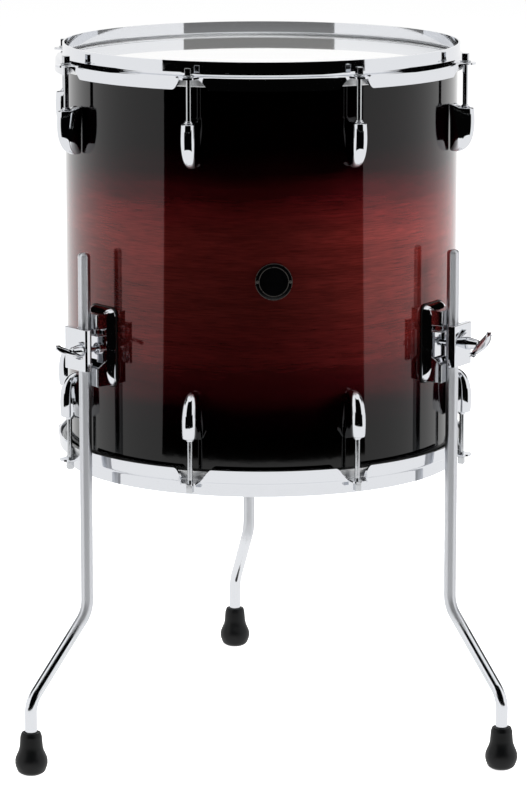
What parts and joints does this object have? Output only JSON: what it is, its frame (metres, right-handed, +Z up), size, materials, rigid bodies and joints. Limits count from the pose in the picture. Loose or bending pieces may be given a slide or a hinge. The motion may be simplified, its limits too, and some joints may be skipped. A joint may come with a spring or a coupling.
{
  "type": "floor tom",
  "caption": "Floor-standing tom drum with a lacquered shell, tensioned heads, chromed hoops and height-adjustable bent legs.",
  "frame": {"origin": "on the floor, under the middle of the whole drum's outline", "axes": "+Z up; the badge faces -Y; the drum's own axis is parallel to Z at x 0.0059 m, y -0.0551 m"},
  "size_m": [0.5134, 0.5379, 0.728],
  "materials": {
    "cherry_lacquer": "high gloss lacquer over maple",
    "head_film": "satin coated film",
    "aluminium": "mill",
    "chrome": "polished",
    "nail_steel": "polished",
    "badge_black": "satin enamel",
    "gasket_black": "matte",
    "rubber": "moulded"
  },
  "bodies": {
    "drum": {"shell": "cherry_lacquer", "batter_head": "head_film", "batter_flesh_hoop": "aluminium", "resonant_head": "head_film", "resonant_flesh_hoop": "aluminium", "top_hoop": "chrome", "top_lug_1": "chrome", "top_lug_2": "chrome", "top_lug_3": "chrome", "top_lug_4": "chrome", "top_lug_5": "chrome", "top_lug_6": "chrome", "top_lug_7": "chrome", "top_lug_8": "chrome", "bottom_hoop": "chrome", "bottom_lug_1": "chrome", "bottom_lug_2": "chrome", "bottom_lug_3": "chrome", "bottom_lug_4": "chrome", "bottom_lug_5": "chrome", "bottom_lug_6": "chrome", "bottom_lug_7": "chrome", "bottom_lug_8": "chrome", "left_leg_bracket": "chrome", "left_bracket_gasket": "gasket_black", "right_leg_bracket": "chrome", "right_bracket_gasket": "gasket_black", "rear_leg_bracket": "chrome", "rear_bracket_gasket": "gasket_black", "badge": "badge_black", "badge_nail_left": "nail_steel", "badge_nail_right": "nail_steel"},
    "top_tension_rod_1": {"top_tension_rod_1": "chrome"},
    "top_tension_rod_2": {"top_tension_rod_2": "chrome"},
    "top_tension_rod_3": {"top_tension_rod_3": "chrome"},
    "top_tension_rod_4": {"top_tension_rod_4": "chrome"},
    "top_tension_rod_5": {"top_tension_rod_5": "chrome"},
    "top_tension_rod_6": {"top_tension_rod_6": "chrome"},
    "top_tension_rod_7": {"top_tension_rod_7": "chrome"},
    "top_tension_rod_8": {"top_tension_rod_8": "chrome"},
    "bottom_tension_rod_1": {"bottom_tension_rod_1": "chrome"},
    "bottom_tension_rod_2": {"bottom_tension_rod_2": "chrome"},
    "bottom_tension_rod_3": {"bottom_tension_rod_3": "chrome"},
    "bottom_tension_rod_4": {"bottom_tension_rod_4": "chrome"},
    "bottom_tension_rod_5": {"bottom_tension_rod_5": "chrome"},
    "bottom_tension_rod_6": {"bottom_tension_rod_6": "chrome"},
    "bottom_tension_rod_7": {"bottom_tension_rod_7": "chrome"},
    "bottom_tension_rod_8": {"bottom_tension_rod_8": "chrome"},
    "left_leg": {"left_leg": "chrome", "left_foot": "rubber"},
    "left_clamp_jaw": {"left_clamp_jaw": "chrome"},
    "left_wing_bolt": {"left_wing_bolt": "chrome"},
    "right_leg": {"right_leg": "chrome", "right_foot": "rubber"},
    "right_clamp_jaw": {"right_clamp_jaw": "chrome"},
    "right_wing_bolt": {"right_wing_bolt": "chrome"},
    "rear_leg": {"rear_leg": "chrome", "rear_foot": "rubber"},
    "rear_clamp_jaw": {"rear_clamp_jaw": "chrome"},
    "rear_wing_bolt": {"rear_wing_bolt": "chrome"}
  },
  "joints": [
    {"name": "top_tension_rod_1_turn", "type": "hinge", "parent": "drum", "child": "top_tension_rod_1", "pos_m": [0.0899, -0.25786, 0.7124], "axis": [0, 0, 1], "continuous": true},
    {"name": "top_tension_rod_2_turn", "type": "hinge", "parent": "drum", "child": "top_tension_rod_2", "pos_m": [0.2087, -0.13907, 0.7124], "axis": [0, 0, 1], "continuous": true},
    {"name": "top_tension_rod_3_turn", "type": "hinge", "parent": "drum", "child": "top_tension_rod_3", "pos_m": [0.2087, 0.02893, 0.7124], "axis": [0, 0, 1], "continuous": true},
    {"name": "top_tension_rod_4_turn", "type": "hinge", "parent": "drum", "child": "top_tension_rod_4", "pos_m": [0.0899, 0.14772, 0.7124], "axis": [0, 0, 1], "continuous": true},
    {"name": "top_tension_rod_5_turn", "type": "hinge", "parent": "drum", "child": "top_tension_rod_5", "pos_m": [-0.07809, 0.14772, 0.7124], "axis": [0, 0, 1], "continuous": true},
    {"name": "top_tension_rod_6_turn", "type": "hinge", "parent": "drum", "child": "top_tension_rod_6", "pos_m": [-0.19689, 0.02893, 0.7124], "axis": [0, 0, 1], "continuous": true},
    {"name": "top_tension_rod_7_turn", "type": "hinge", "parent": "drum", "child": "top_tension_rod_7", "pos_m": [-0.19689, -0.13907, 0.7124], "axis": [0, 0, 1], "continuous": true},
    {"name": "top_tension_rod_8_turn", "type": "hinge", "parent": "drum", "child": "top_tension_rod_8", "pos_m": [-0.07809, -0.25786, 0.7124], "axis": [0, 0, 1], "continuous": true},
    {"name": "bottom_tension_rod_1_turn", "type": "hinge", "parent": "drum", "child": "bottom_tension_rod_1", "pos_m": [0.0899, -0.25786, 0.306], "axis": [0, 0, -1], "continuous": true},
    {"name": "bottom_tension_rod_2_turn", "type": "hinge", "parent": "drum", "child": "bottom_tension_rod_2", "pos_m": [0.2087, -0.13907, 0.306], "axis": [0, 0, -1], "continuous": true},
    {"name": "bottom_tension_rod_3_turn", "type": "hinge", "parent": "drum", "child": "bottom_tension_rod_3", "pos_m": [0.2087, 0.02893, 0.306], "axis": [0, 0, -1], "continuous": true},
    {"name": "bottom_tension_rod_4_turn", "type": "hinge", "parent": "drum", "child": "bottom_tension_rod_4", "pos_m": [0.0899, 0.14772, 0.306], "axis": [0, 0, -1], "continuous": true},
    {"name": "bottom_tension_rod_5_turn", "type": "hinge", "parent": "drum", "child": "bottom_tension_rod_5", "pos_m": [-0.07809, 0.14772, 0.306], "axis": [0, 0, -1], "continuous": true},
    {"name": "bottom_tension_rod_6_turn", "type": "hinge", "parent": "drum", "child": "bottom_tension_rod_6", "pos_m": [-0.19689, 0.02893, 0.306], "axis": [0, 0, -1], "continuous": true},
    {"name": "bottom_tension_rod_7_turn", "type": "hinge", "parent": "drum", "child": "bottom_tension_rod_7", "pos_m": [-0.19689, -0.13907, 0.306], "axis": [0, 0, -1], "continuous": true},
    {"name": "bottom_tension_rod_8_turn", "type": "hinge", "parent": "drum", "child": "bottom_tension_rod_8", "pos_m": [-0.07809, -0.25786, 0.306], "axis": [0, 0, -1], "continuous": true},
    {"name": "left_leg_slide", "type": "slide", "parent": "drum", "child": "left_leg", "axis": [0, 0, 1], "range_m": [-0.055, 0.2]},
    {"name": "left_jaw_travel", "type": "slide", "parent": "drum", "child": "left_clamp_jaw", "axis": [-0.8221, -0.5693, 0], "range_m": [0, 0.0025]},
    {"name": "left_wing_turn", "type": "hinge", "parent": "left_clamp_jaw", "child": "left_wing_bolt", "pos_m": [-0.18544, -0.20015, 0.431], "axis": [-0.8221, -0.5693, 0], "range_deg": [0, 720]},
    {"name": "right_leg_slide", "type": "slide", "parent": "drum", "child": "right_leg", "axis": [0, 0, 1], "range_m": [-0.055, 0.2]},
    {"name": "right_jaw_travel", "type": "slide", "parent": "drum", "child": "right_clamp_jaw", "axis": [0.8221, -0.5693, 0], "range_m": [0, 0.0025]},
    {"name": "right_wing_turn", "type": "hinge", "parent": "right_clamp_jaw", "child": "right_wing_bolt", "pos_m": [0.20903, -0.18313, 0.431], "axis": [0.8221, -0.5693, 0], "range_deg": [0, 720]},
    {"name": "rear_leg_slide", "type": "slide", "parent": "drum", "child": "rear_leg", "axis": [0, 0, 1], "range_m": [-0.055, 0.2]},
    {"name": "rear_jaw_travel", "type": "slide", "parent": "drum", "child": "rear_clamp_jaw", "axis": [0, 1, 0], "range_m": [0, 0.0025]},
    {"name": "rear_wing_turn", "type": "hinge", "parent": "rear_clamp_jaw", "child": "rear_wing_bolt", "pos_m": [-0.00445, 0.18483, 0.431], "axis": [0, 1, 0], "range_deg": [0, 720]}
  ],
  "couplings": [
    {"joint": "left_wing_turn", "follows": "left_jaw_travel", "rad_per_m": 5026.5},
    {"joint": "right_wing_turn", "follows": "right_jaw_travel", "rad_per_m": 5026.5},
    {"joint": "rear_wing_turn", "follows": "rear_jaw_travel", "rad_per_m": 5026.5}
  ]
}
